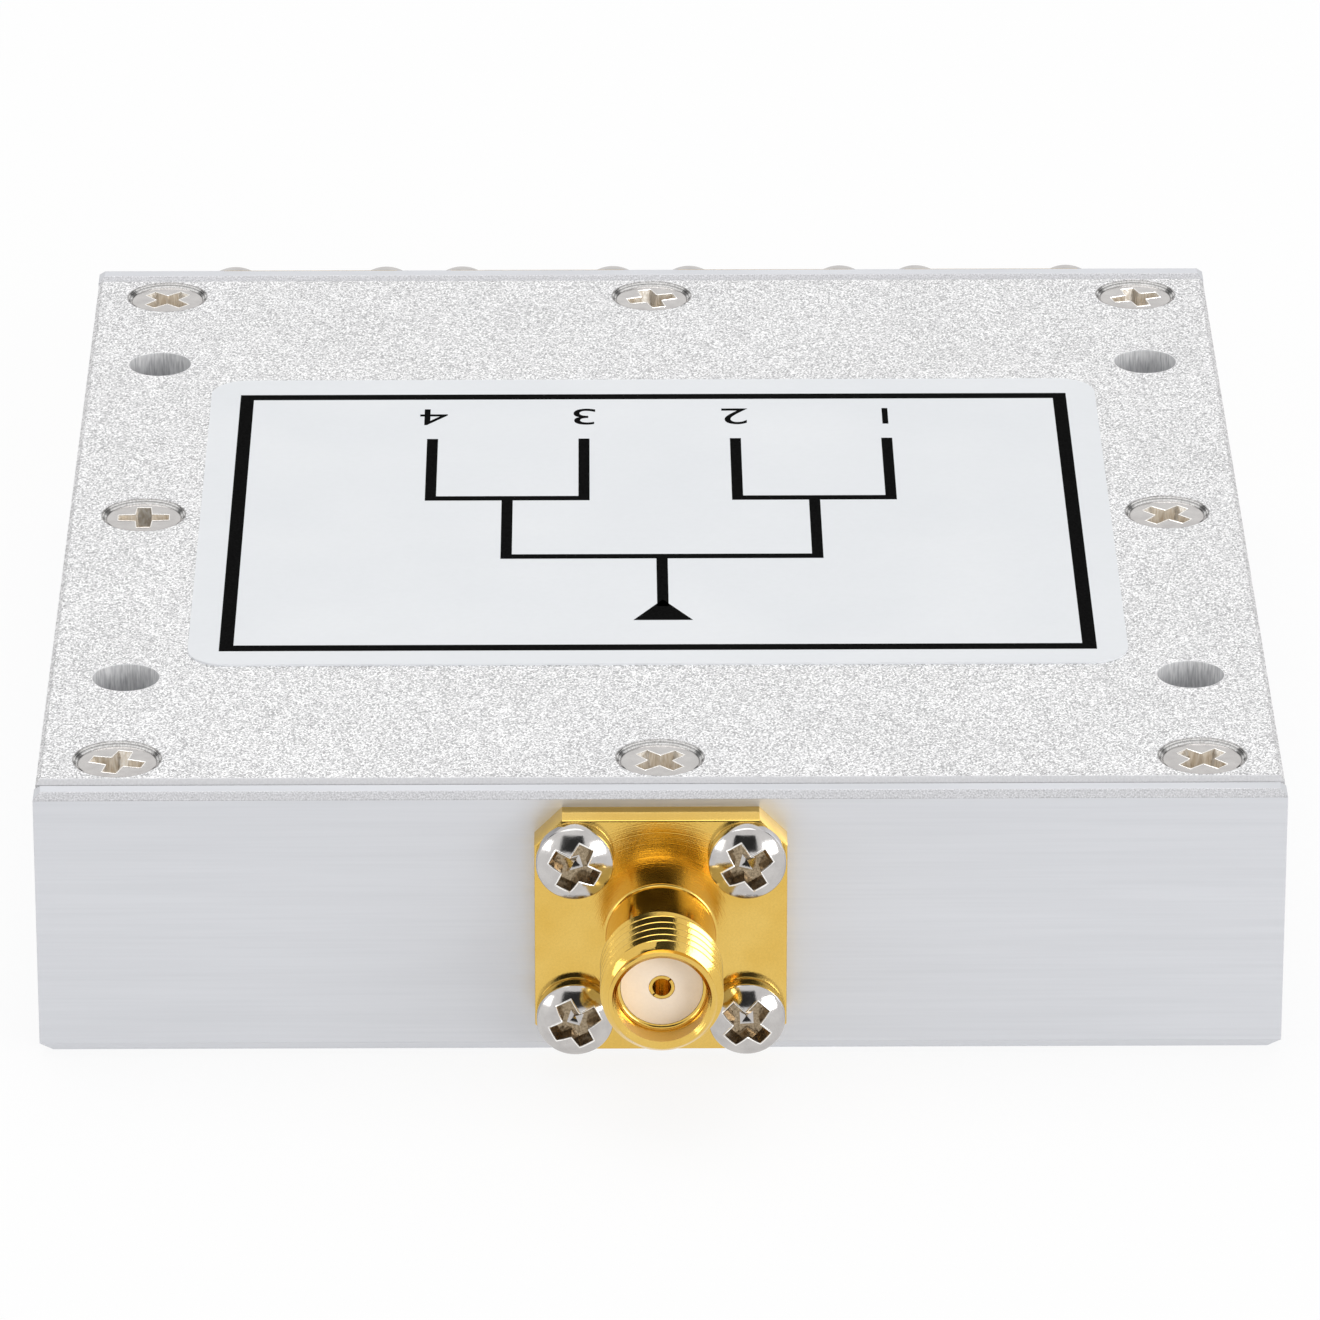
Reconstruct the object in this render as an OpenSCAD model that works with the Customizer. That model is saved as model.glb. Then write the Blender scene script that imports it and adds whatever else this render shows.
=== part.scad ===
// One-to-four RF power splitter: a milled aluminium housing with a let-in cover, one coaxial
// connector on the front face, four on the back face, and a ring divider network inside.
// Millimetres. The origin is the centre of the base, +Z is up and the outputs face +Y.

/* [Housing] */

// Width across the side faces
body_w = 63; // [60:0.5:80]
// Depth between the two connector faces
body_d = 72.3; // [68:0.1:100]
// Height from the base to the top of the lips
body_h = 14.5; // [14.4:0.1:18]
// Thickness of the lips along the front and back top edges
lip_t = 1.4; // [1.1:0.1:1.6]
// Chamfer on the outer top edges of the lips
lip_chamfer = 0.33; // [0.1:0.01:0.5]
// Chamfer on the inner top edges of the lips
lip_inner_chamfer = 0.3; // [0.1:0.05:0.4]
// Chamfer round the base
base_chamfer = 0.65; // [0.2:0.05:1]
// Wall between the pocket and a side face
side_wall = 7.5; // [7:0.1:8]
// Wall between the pocket and a connector face
end_wall = 6.5; // [6:0.1:8]
// Radius of the pocket's upright corners
pocket_r = 3; // [1.5:0.5:4]
// Diameter of the mounting holes
mount_hole_d = 3.45; // [2.5:0.05:4]
// Distance from a side face to the mounting holes
mount_hole_side = 4.05; // [3.5:0.05:4.5]
// Distance from a connector face to the mounting holes
mount_hole_end = 14.55; // [10:0.05:24]

/* [Cover] */

// Thickness of the cover, and depth of its seat
cover_t = 1.5; // [1.3:0.1:1.6]
// Gap between the cover and a lip
cover_gap = 0.3; // [0.1:0.05:0.5]
// Distance from a side face to the edge of the cover
cover_side_gap = 0.05; // [0:0.01:0.2]
// Chamfer round the top of the cover
cover_chamfer = 0.25; // [0.1:0.05:0.4]

/* [Cover screws] */

// Thread diameter of the cover screws
cover_screw_d = 2; // [1.6:0.1:2.2]
// Diameter of the countersunk heads
cover_screw_head_d = 4.1; // [3.6:0.1:4.3]
// Length of the cover screws, heads included
cover_screw_len = 4; // [3:0.5:4]
// Diameter of the countersinks at the cover's face
countersink_d = 4.5; // [4.4:0.1:4.6]
// Distance from a side face to the outer screws
cover_screw_side = 4.05; // [3.5:0.05:4.5]
// Distance from a connector face to the outer screws
cover_screw_end = 4.35; // [4.1:0.05:4.6]

/* [Label] */

// Width of the label
label_w = 48.8; // [30:0.1:49]
// Depth of the label
label_d = 39.1; // [20:0.1:42]
// Thickness of the label
label_t = 0.1; // [0.05:0.01:0.2]
// Radius of the label's corners
label_r = 2; // [0.5:0.1:4]
// Shift of the label from the middle of the cover, towards the input
label_shift = 0.65; // [0:0.05:1.5]

/* [Connectors] */

// Distance from the top of the lips down to the connector axes
axis_drop = 7.1; // [7:0.05:7.3]
// Height of the connector axes above the base
axis_h = body_h - axis_drop;
// Distance between neighbouring outputs
output_pitch = 13; // [12.8:0.1:14]
// Width of the square flange
flange_w = 12.7; // [12:0.1:12.7]
// Thickness of the flange
flange_t = 1.7; // [1.2:0.1:2]
// Leg of the 45 degree cuts at the flange's corners
flange_cut = 1.4; // [0.4:0.1:1.6]
// Diameter of the plain neck behind the thread
neck_d = 5.5; // [5.2:0.05:5.8]
// Length of the neck in front of the flange
neck_len = 3.6; // [2:0.1:4.5]
// Outer diameter of the thread
thread_d = 6.15; // [6.05:0.05:6.35]
// Length of the barrel in front of the flange
barrel_len = 7.65; // [7:0.05:9.5]
// Outer diameter of the barrel's nose
nose_d = 5.3; // [5.15:0.05:5.5]
// Length of the tapered nose
nose_len = 0.5; // [0.2:0.05:0.8]
// Diameter of the mouth
mouth_d = 4.6; // [4.5:0.05:4.7]
// Depth of the mouth
mouth_depth = 1.65; // [1.2:0.05:2]
// Lead-in chamfer at the mouth
mouth_chamfer = 0.2; // [0.05:0.05:0.2]
// Diameter of the dielectric
dielectric_d = 4.1; // [3.8:0.05:4.2]
// Diameter of the centre contact
contact_d = 1.27; // [1.2:0.01:1.4]
// Diameter of the socket in the contact
socket_d = 0.94; // [0.9:0.01:1]
// Depth of the socket in the contact
socket_depth = 2.5; // [1:0.1:4]
// Width of the slot that parts the socket's tines
tine_slot = 0.08; // [0.05:0.01:0.15]
// Diameter of the contact's tail
tail_d = 0.8; // [0.6:0.05:1]
// Length of the tail inside the pocket
tail_len = 2.4; // [2.2:0.1:4]

/* [Flange screws] */

// Distance between the flange screws, across and up
flange_screw_pitch = 8.64; // [8.4:0.02:8.7]
// Thread diameter of the flange screws
flange_screw_d = 2; // [1.6:0.1:2.1]
// Diameter of the flange holes
flange_hole_d = 2.6; // [2.3:0.1:2.8]
// Diameter of the pan heads
flange_head_d = 3.9; // [3.5:0.02:4.1]
// Height of the pan heads
flange_head_h = 1.5; // [1.3:0.1:1.8]
// Length of the flange screws under the head
flange_screw_len = 4; // [3.5:0.5:4.5]

/* [Circuit board] */

// Thickness of the laminate
board_t = 0.8; // [0.5:0.05:1.2]
// Thickness of the copper
trace_t = 0.07; // [0.035:0.005:0.1]
// Width of the 50 ohm lines
line_w = 2.3; // [1.6:0.1:2.5]
// Width of the quarter-wave ring arms
arm_w = 1.3; // [0.8:0.1:1.6]
// Mean diameter of the divider rings
ring_d = 12; // [9:0.5:13]
// Opening of a ring, bridged by a resistor
ring_gap = 1.2; // [0.8:0.1:1.6]
// Length of the line from the board's front edge to the first ring
feed_len = 9; // [5:0.5:10]
// Length of the lines from the second rings to the board's back edge
run_out_len = 11; // [10:0.5:12]
// Distance from the board's edge to the end of a line
trace_inset = 0.3; // [0.1:0.1:0.6]
// Length of a chip resistor
resistor_l = 2; // [1.9:0.1:2.2]
// Width of a chip resistor
resistor_w = 1.25; // [0.8:0.05:1.6]
// Height of a chip resistor
resistor_h = 0.5; // [0.35:0.05:0.7]
// Diameter of a solder joint at its foot
solder_d = 2; // [1.5:0.1:2.2]
// Diameter of a solder joint at its top
solder_top_d = 1.2; // [1:0.1:1.4]
// Height of a solder joint
solder_h = 0.7; // [0.3:0.05:0.75]

/* [Board screws] */

// Thread diameter of the board screws
board_screw_d = 2; // [1.6:0.1:2.2]
// Diameter of the board screws' heads
board_head_d = 3.8; // [3.4:0.1:4]
// Height of the board screws' heads
board_head_h = 1.4; // [1.2:0.1:1.8]
// Length of the board screws under the head
board_screw_len = 4.5; // [3:0.5:5]
// Distance from the pocket's side wall to the outer board screws
board_screw_side = 3; // [2.5:0.1:3.2]
// Distance from the pocket's front wall to the front board screws
board_screw_front = 4; // [3:0.1:6]
// Distance from the pocket's back wall to the back board screws
board_screw_back = 5; // [4:0.1:5.5]

/* [Fits] */

// Clearance round screws, dielectrics and contacts
fit_gap = 0.02; // [0.01:0.005:0.03]
// Clearance of screw shanks in the cover and the board
shank_gap = 0.1; // [0.05:0.05:0.15]
// Clearance between the board and the pocket walls
board_gap = 0.2; // [0.1:0.05:0.3]
// Clearance between a contact's tail and the copper
tail_gap = 0.06; // [0.05:0.01:0.1]
// Spare depth under the end of a screw
tap_spare = 0.3; // [0.1:0.1:0.4]

/* [Hidden] */

$fn = 64;

// How far a cutter runs past the face that it opens
past = 1;

milled = [0.82, 0.82, 0.84];
blasted = [0.89, 0.89, 0.90];
gold = [0.87, 0.73, 0.38];
nickel = [0.80, 0.78, 0.75];
ptfe = [0.95, 0.92, 0.88];
film = [0.91, 0.92, 0.93];
laminate = [0.86, 0.84, 0.74];
copper = [0.80, 0.50, 0.32];
chip = [0.12, 0.12, 0.13];
tin = [0.72, 0.73, 0.75];

seat_z = body_h - cover_t;
cover_w = body_w - 2 * cover_side_gap;
cover_d = body_d - 2 * (lip_t + cover_gap);

pocket_w = body_w - 2 * side_wall;
pocket_d = body_d - 2 * end_wall;
trace_z = axis_h - tail_d / 2 - tail_gap - trace_t;
board_z = trace_z - board_t;

mount_x = body_w / 2 - mount_hole_side;
mount_y = body_d / 2 - mount_hole_end;

cover_screw_x = body_w / 2 - cover_screw_side;
cover_screw_y = body_d / 2 - cover_screw_end;
cover_screw_r = cover_screw_d / 2;
head_sink = (countersink_d - cover_screw_head_d) / 2 - fit_gap;
cover_screw_places = [
    for (i = [-1:1], j = [-1:1])
        if (i != 0 || j != 0)
            [i * cover_screw_x, j * cover_screw_y]
];

output_count = 4;
output_xs = [for (i = [1:output_count]) ((output_count + 1) / 2 - i) * output_pitch];
dielectric_bore_r = dielectric_d / 2 + fit_gap;
reference_z = flange_t + barrel_len - mouth_depth;
flange_screw_places = [
    for (i = [-1, 1], j = [-1, 1])
        [i, j] * flange_screw_pitch / 2
];

board_w = pocket_w - 2 * board_gap;
board_d = pocket_d - 2 * board_gap;
board_r = pocket_r - board_gap;
board_front = -board_d / 2;
board_back = board_d / 2;
ring_r = ring_d / 2;
first_ring_y = board_front + feed_len + ring_r;
second_ring_y = board_back - run_out_len - ring_r;
pair_xs = [-output_pitch, output_pitch];
board_screw_places = [
    for (s = [-1, 1]) [s * (pocket_w / 2 - board_screw_side), board_screw_front - pocket_d / 2],
    for (s = [-1, 1]) [s * (pocket_w / 2 - board_screw_side), first_ring_y + ring_d],
    for (s = [-1, 1]) [s * output_pitch, pocket_d / 2 - board_screw_back]
];

// Cross recesses, as shares of the head's diameter: span, width of the slots and depth
pan_recess = [0.73, 0.23, 0.2];
flat_recess = [0.57, 0.18, 0.2];
// Rise of a pan head's crown, as a share of its height
crown_share = 0.48;
// Chamfer at the end of a screw
tip_chamfer = 0.25;
// Turn from one screw's recess to the next, in degrees
recess_turn = 37;
// Direction of the slot across a contact's socket, in degrees
tine_turn = 45;

// Section of a block with chamfered lower and upper edges, standing on the X axis
module chamfered_section(w, h, base_c, top_c) {
    foot = base_c > 0 ? [[w / 2 - base_c, 0], [w / 2, base_c]] : [[w / 2, 0]];
    head = [[w / 2, h - top_c], [w / 2 - top_c, h]];
    right = concat(foot, head);
    left = [for (i = [len(right) - 1:-1:0]) [-right[i][0], right[i][1]]];
    polygon(concat(right, left));
}

// Block with its upper edges, and its lower ones where base_c is given, chamfered all round
module chamfered_block(w, d, h, top_c, base_c = 0) {
    intersection() {
        rotate([90, 0, 0])
            linear_extrude(d, center = true)
                chamfered_section(w, h, base_c, top_c);
        rotate([90, 0, 90])
            linear_extrude(w, center = true)
                chamfered_section(d, h, base_c, top_c);
    }
}

module rounded_rect(w, d, r) {
    square([w - 2 * r, d], center = true);
    square([w, d - 2 * r], center = true);
    for (i = [-1, 1], j = [-1, 1])
        translate([i * (w / 2 - r), j * (d / 2 - r)])
            circle(r);
}

// Stands its children on the front face, with Z pointing out of it
module at_input() {
    translate([0, -body_d / 2, axis_h])
        rotate([90, 0, 0])
            children();
}

// Stands its children on the back face at output n, with Z pointing out of it
module at_output(n) {
    translate([output_xs[n - 1], body_d / 2, axis_h])
        rotate([90, 0, 180])
            children();
}

module at_every_port() {
    at_input()
        children();
    for (n = [1:output_count])
        at_output(n)
            children();
}

module at_places(places) {
    for (p = places)
        translate(p)
            children();
}

module mounting_holes() {
    for (i = [-1, 1], j = [-1, 1])
        translate([i * mount_x, j * mount_y, -past])
            cylinder(d = mount_hole_d, h = body_h + 2 * past);
}

// Blind hole of a screw, sunk from z = 0
module tapped_hole(d, depth) {
    translate([0, 0, -depth])
        cylinder(d = d + 2 * fit_gap, h = depth + past);
}

// Cross recess of the given span, slot width and depth, sunk from z = 0
module cross_recess(sizes) {
    for (a = [0, 90])
        rotate(a)
            translate([-sizes[0] / 2, -sizes[1] / 2, -sizes[2]])
                cube([sizes[0], sizes[1], sizes[2] + past]);
}

// Plain shank with a chamfered end, hanging from z = 0
module shank(d, length) {
    rotate_extrude()
        polygon([
            [0, -length],
            [d / 2 - tip_chamfer, -length],
            [d / 2, tip_chamfer - length],
            [d / 2, 0],
            [0, 0]
        ]);
}

// Pan-head screw with the underside of its head on z = 0
module pan_screw(d, head_d, head_h, length, turn) {
    crown = crown_share * head_h;
    crown_r = (head_d * head_d / 4 + crown * crown) / (2 * crown);
    shank(d, length);
    difference() {
        intersection() {
            cylinder(d = head_d, h = head_h);
            translate([0, 0, head_h - crown_r])
                sphere(crown_r, $fn = 128);
        }
        translate([0, 0, head_h])
            rotate(turn)
                cross_recess(head_d * pan_recess);
    }
}

// Countersunk screw with the face of its head on z = 0
module countersunk_screw(turn) {
    head_r = cover_screw_head_d / 2;
    difference() {
        rotate_extrude()
            polygon([
                [0, -cover_screw_len],
                [cover_screw_r - tip_chamfer, -cover_screw_len],
                [cover_screw_r, tip_chamfer - cover_screw_len],
                [cover_screw_r, cover_screw_r - head_r],
                [head_r, 0],
                [0, 0]
            ]);
        rotate(turn)
            cross_recess(cover_screw_head_d * flat_recess);
    }
}

// Countersunk clearance hole, sunk through the cover from z = 0
module countersunk_hole() {
    rim_r = countersink_d / 2;
    hole_r = cover_screw_r + shank_gap;
    rotate_extrude()
        polygon([
            [0, -cover_t - past],
            [hole_r, -cover_t - past],
            [hole_r, hole_r - rim_r],
            [rim_r, 0],
            [rim_r, past],
            [0, past]
        ]);
}

// Open seat of the cover, as wide as the housing, that flares at the lips' inner chamfers
module cover_seat() {
    side = body_d / 2 - lip_t;
    flare = side + lip_inner_chamfer;
    rotate([90, 0, 90])
        linear_extrude(body_w + 2 * past, center = true)
            polygon([
                [-side, seat_z],
                [side, seat_z],
                [side, body_h - lip_inner_chamfer],
                [flare, body_h],
                [flare, body_h + past],
                [-flare, body_h + past],
                [-flare, body_h],
                [-side, body_h - lip_inner_chamfer]
            ]);
}

module housing() {
    cover_screw_depth = head_sink + cover_screw_len - cover_t + tap_spare;
    flange_screw_depth = flange_screw_len - flange_t + tap_spare;
    board_screw_depth = board_screw_len - board_t + tap_spare;
    color(milled)
        difference() {
            chamfered_block(body_w, body_d, body_h, lip_chamfer, base_chamfer);
            cover_seat();
            translate([0, 0, board_z])
                linear_extrude(seat_z - board_z + past)
                    rounded_rect(pocket_w, pocket_d, pocket_r);
            at_every_port() {
                translate([0, 0, -end_wall - past])
                    cylinder(r = dielectric_bore_r, h = end_wall + 2 * past);
                at_places(flange_screw_places)
                    tapped_hole(flange_screw_d, flange_screw_depth);
            }
            translate([0, 0, seat_z])
                at_places(cover_screw_places)
                    tapped_hole(cover_screw_d, cover_screw_depth);
            translate([0, 0, board_z])
                at_places(board_screw_places)
                    tapped_hole(board_screw_d, board_screw_depth);
            mounting_holes();
        }
}

module cover() {
    color(blasted)
        difference() {
            translate([0, 0, seat_z])
                chamfered_block(cover_w, cover_d, cover_t, cover_chamfer);
            translate([0, 0, body_h])
                at_places(cover_screw_places)
                    countersunk_hole();
            mounting_holes();
        }
}

module cover_screws() {
    color(nickel)
        for (i = [0:len(cover_screw_places) - 1])
            translate(concat(cover_screw_places[i], body_h - head_sink))
                countersunk_screw(i * recess_turn);
}

module label() {
    color(film)
        translate([0, -label_shift, body_h])
            linear_extrude(label_t)
                rounded_rect(label_w, label_d, label_r);
}

module circuit_board() {
    color(laminate)
        translate([0, 0, board_z])
            difference() {
                linear_extrude(board_t)
                    rounded_rect(board_w, board_d, board_r);
                at_places(board_screw_places)
                    translate([0, 0, -past])
                        cylinder(d = board_screw_d + 2 * shank_gap, h = board_t + 2 * past);
            }
}

// Straight line of copper along Y at x, from y0 to y1
module line_along_y(x, y0, y1) {
    translate([x - line_w / 2, y0])
        square([line_w, y1 - y0]);
}

// Open ring with a line leaving each end of it sideways, as far as split
module ring_divider(split) {
    difference() {
        union() {
            difference() {
                circle(ring_r + arm_w / 2);
                circle(ring_r - arm_w / 2);
            }
            translate([0, ring_r])
                square([2 * split + line_w, line_w], center = true);
        }
        translate([0, ring_r])
            square([ring_gap, ring_r], center = true);
    }
}

module circuit_traces() {
    color(copper)
        translate([0, 0, trace_z])
            linear_extrude(trace_t) {
                line_along_y(0, board_front + trace_inset, first_ring_y - ring_r);
                translate([0, first_ring_y])
                    ring_divider(output_pitch);
                for (x = pair_xs) {
                    line_along_y(x, first_ring_y + ring_r, second_ring_y - ring_r);
                    translate([x, second_ring_y])
                        ring_divider(output_pitch / 2);
                }
                for (x = output_xs)
                    line_along_y(x, second_ring_y + ring_r, board_back - trace_inset);
            }
}

module isolation_resistors() {
    ring_places = concat([[0, first_ring_y]], [for (x = pair_xs) [x, second_ring_y]]);
    color(chip)
        translate([-resistor_l / 2, ring_r - resistor_w / 2, trace_z + trace_t])
            at_places(ring_places)
                cube([resistor_l, resistor_w, resistor_h]);
}

module board_screws() {
    color(nickel)
        for (i = [0:len(board_screw_places) - 1])
            translate(concat(board_screw_places[i], board_z + board_t))
                pan_screw(board_screw_d, board_head_d, board_head_h, board_screw_len, i * recess_turn);
}

// Cone of solder on the copper, closed round each contact's tail
module solder_joints() {
    solder_foot = trace_z + trace_t - axis_h;
    color(tin)
        at_every_port()
            difference() {
                translate([0, solder_foot, -end_wall - tail_len / 2])
                    rotate([-90, 0, 0])
                        cylinder(d1 = solder_d, d2 = solder_top_d, h = solder_h);
                translate([0, 0, -end_wall - tail_len - past])
                    cylinder(d = tail_d + 2 * fit_gap, h = tail_len + 2 * past);
            }
}

// Square flange with cut corners and a threaded barrel, as one turned and milled piece
module connector_shell() {
    nose_z = flange_t + barrel_len;
    color(gold) {
        linear_extrude(flange_t)
            difference() {
                intersection() {
                    square(flange_w, center = true);
                    rotate(45)
                        square((flange_w - flange_cut) * sqrt(2), center = true);
                }
                circle(dielectric_bore_r);
                at_places(flange_screw_places)
                    circle(d = flange_hole_d);
            }
        rotate_extrude()
            polygon([
                [dielectric_bore_r, 0],
                [neck_d / 2, 0],
                [neck_d / 2, flange_t + neck_len - (thread_d - neck_d) / 2],
                [thread_d / 2, flange_t + neck_len],
                [thread_d / 2, nose_z - nose_len],
                [nose_d / 2, nose_z],
                [mouth_d / 2 + mouth_chamfer, nose_z],
                [mouth_d / 2, nose_z - mouth_chamfer],
                [mouth_d / 2, reference_z],
                [dielectric_bore_r, reference_z]
            ]);
    }
}

module connector_dielectric() {
    color(ptfe)
        translate([0, 0, -end_wall])
            difference() {
                cylinder(d = dielectric_d, h = end_wall + reference_z);
                translate([0, 0, -past])
                    cylinder(d = contact_d + 2 * fit_gap, h = end_wall + reference_z + 2 * past);
            }
}

// Slotted socket in front, solder tail behind
module connector_contact() {
    color(gold)
        difference() {
            rotate_extrude()
                polygon([
                    [0, -end_wall - tail_len],
                    [tail_d / 2, -end_wall - tail_len],
                    [tail_d / 2, -end_wall],
                    [contact_d / 2, -end_wall],
                    [contact_d / 2, reference_z],
                    [0, reference_z]
                ]);
            translate([0, 0, reference_z - socket_depth]) {
                cylinder(d = socket_d, h = socket_depth + past);
                rotate(tine_turn)
                    translate([-contact_d, -tine_slot / 2, 0])
                        cube([2 * contact_d, tine_slot, socket_depth + past]);
            }
        }
}

module flange_screws() {
    color(nickel)
        at_every_port()
            for (i = [0:len(flange_screw_places) - 1])
                translate(concat(flange_screw_places[i], flange_t))
                    pan_screw(
                        flange_screw_d, flange_head_d, flange_head_h, flange_screw_len, i * recess_turn
                    );
}

housing();
cover();
cover_screws();
label();
circuit_board();
circuit_traces();
isolation_resistors();
board_screws();
solder_joints();
at_input() connector_shell();  // input_shell
at_input() connector_dielectric();  // input_dielectric
at_input() connector_contact();  // input_contact
at_output(1) connector_shell();  // output_1_shell
at_output(1) connector_dielectric();  // output_1_dielectric
at_output(1) connector_contact();  // output_1_contact
at_output(2) connector_shell();  // output_2_shell
at_output(2) connector_dielectric();  // output_2_dielectric
at_output(2) connector_contact();  // output_2_contact
at_output(3) connector_shell();  // output_3_shell
at_output(3) connector_dielectric();  // output_3_dielectric
at_output(3) connector_contact();  // output_3_contact
at_output(4) connector_shell();  // output_4_shell
at_output(4) connector_dielectric();  // output_4_dielectric
at_output(4) connector_contact();  // output_4_contact
flange_screws();
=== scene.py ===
from math import atan2, cos, degrees, hypot, pi, radians, sin, sqrt, tan

import bmesh
import bpy
from mathutils import Matrix, Vector


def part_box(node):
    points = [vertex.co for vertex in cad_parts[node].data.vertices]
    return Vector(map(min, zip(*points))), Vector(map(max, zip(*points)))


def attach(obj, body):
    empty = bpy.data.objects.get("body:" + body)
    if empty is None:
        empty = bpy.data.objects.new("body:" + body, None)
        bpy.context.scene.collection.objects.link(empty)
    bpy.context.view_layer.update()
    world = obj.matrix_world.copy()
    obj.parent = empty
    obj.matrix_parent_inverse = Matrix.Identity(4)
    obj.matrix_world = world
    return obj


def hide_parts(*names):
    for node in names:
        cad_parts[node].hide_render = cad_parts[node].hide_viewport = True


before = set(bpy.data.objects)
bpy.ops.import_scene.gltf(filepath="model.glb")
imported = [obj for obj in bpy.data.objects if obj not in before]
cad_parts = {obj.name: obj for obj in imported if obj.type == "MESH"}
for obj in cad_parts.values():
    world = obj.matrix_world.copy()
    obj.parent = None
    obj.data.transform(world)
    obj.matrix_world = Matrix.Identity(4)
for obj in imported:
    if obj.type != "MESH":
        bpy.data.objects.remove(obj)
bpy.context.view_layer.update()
MM = 0.001


# Housing: one block of aluminium, milled all over, with a thin lip left standing along its front
# and back top edges. The cutter ran level round the sides, so its fine lines run level too.

def new_finish(name, metallic, roughness):
    """A finish with its node tree and its shader."""
    finish = bpy.data.materials.new(name)
    finish.use_nodes = True
    tree = finish.node_tree
    shader = tree.nodes["Principled BSDF"]
    shader.inputs["Metallic"].default_value = metallic
    shader.inputs["Roughness"].default_value = roughness
    return finish, tree, shader


def grain(tree, size, detail=2.0, stretch=(1, 1, 1)):
    """Noise with spots about size millimetres across, drawn out along the axes by stretch."""
    place = tree.nodes.new("ShaderNodeTexCoord")
    mapping = tree.nodes.new("ShaderNodeMapping")
    mapping.inputs["Scale"].default_value = [1 / (size * MM * s) for s in stretch]
    noise = tree.nodes.new("ShaderNodeTexNoise")
    noise.inputs["Scale"].default_value = 1.0
    noise.inputs["Detail"].default_value = detail
    tree.links.new(place.outputs["Object"], mapping.inputs["Vector"])
    tree.links.new(mapping.outputs["Vector"], noise.inputs["Vector"])
    return noise.outputs["Fac"]


def reckon(tree, operation, first, second=None):
    """Result of a sum, with each value a number or the output of another node."""
    sum_node = tree.nodes.new("ShaderNodeMath")
    sum_node.operation = operation
    for socket, value in zip(sum_node.inputs, (first, second)):
        if isinstance(value, bpy.types.NodeSocket):
            tree.links.new(value, socket)
        elif value is not None:
            socket.default_value = value
    return sum_node.outputs["Value"]


def near(tree, value, centre, half, soft):
    """1 where a value lies within half of a centre, falling to 0 over a soft edge."""
    edge = tree.nodes.new("ShaderNodeMapRange")
    edge.interpolation_type = "SMOOTHSTEP"
    edge.inputs["From Min"].default_value = half + soft
    edge.inputs["From Max"].default_value = half - soft
    away = reckon(tree, "ABSOLUTE", reckon(tree, "SUBTRACT", value, centre))
    tree.links.new(away, edge.inputs["Value"])
    return edge.outputs["Result"]


def on_chamfer(tree, slope, height):
    """1 on the chamfers along the front and back top edges, where |y| + slope * z is the height."""
    place = tree.nodes.new("ShaderNodeTexCoord")
    parts = tree.nodes.new("ShaderNodeSeparateXYZ")
    tree.links.new(place.outputs["Object"], parts.inputs["Vector"])
    rise = reckon(tree, "MULTIPLY", parts.outputs["Z"], slope)
    level = reckon(tree, "ADD", reckon(tree, "ABSOLUTE", parts.outputs["Y"]), rise)
    strip_half = 0.03 * MM
    top_depth = 0.5 * MM
    soft = 0.01 * MM
    strip = near(tree, level, height, strip_half, soft)
    at_top = near(tree, parts.outputs["Z"], housing_hi.z, top_depth, soft)
    return reckon(tree, "MULTIPLY", strip, at_top)


def tint(tree, pattern, dark, light, low=0.3, high=0.7):
    """Colour that runs from dark to light as the pattern goes from low to high."""
    ramp = tree.nodes.new("ShaderNodeValToRGB")
    ends = ramp.color_ramp.elements
    ends[0].position = low
    ends[0].color = (*dark, 1)
    ends[1].position = high
    ends[1].color = (*light, 1)
    tree.links.new(pattern, ramp.inputs["Fac"])
    return ramp.outputs["Color"]


def over(tree, base, layer, share, mode="MULTIPLY"):
    """One colour laid over another."""
    mix = tree.nodes.new("ShaderNodeMix")
    mix.data_type = "RGBA"
    mix.blend_type = mode
    if isinstance(share, bpy.types.NodeSocket):
        tree.links.new(share, mix.inputs["Factor"])
    else:
        mix.inputs["Factor"].default_value = share
    tree.links.new(base, mix.inputs["A"])
    tree.links.new(layer, mix.inputs["B"])
    return mix.outputs["Result"]


def spread(tree, pattern, least, most):
    """Number that runs from least to most with the pattern."""
    scale = tree.nodes.new("ShaderNodeMapRange")
    scale.inputs["From Min"].default_value = 0.3
    scale.inputs["From Max"].default_value = 0.7
    scale.inputs["To Min"].default_value = least
    scale.inputs["To Max"].default_value = most
    tree.links.new(pattern, scale.inputs["Value"])
    return scale.outputs["Result"]


def relief(tree, shader, pattern, depth, edge=0.0):
    """Dents as deep as depth millimetres, over edges rounded by the given radius."""
    bump = tree.nodes.new("ShaderNodeBump")
    bump.inputs["Strength"].default_value = 1.0
    bump.inputs["Distance"].default_value = depth * MM
    tree.links.new(pattern, bump.inputs["Height"])
    if edge:
        bevel = tree.nodes.new("ShaderNodeBevel")
        bevel.samples = 6
        bevel.inputs["Radius"].default_value = edge * MM
        tree.links.new(bevel.outputs["Normal"], bump.inputs["Normal"])
    tree.links.new(bump.outputs["Normal"], shader.inputs["Normal"])


def dress(node, finish):
    """Gives a CAD node its finish."""
    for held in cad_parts[node].material_slots:
        held.material = finish


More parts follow.
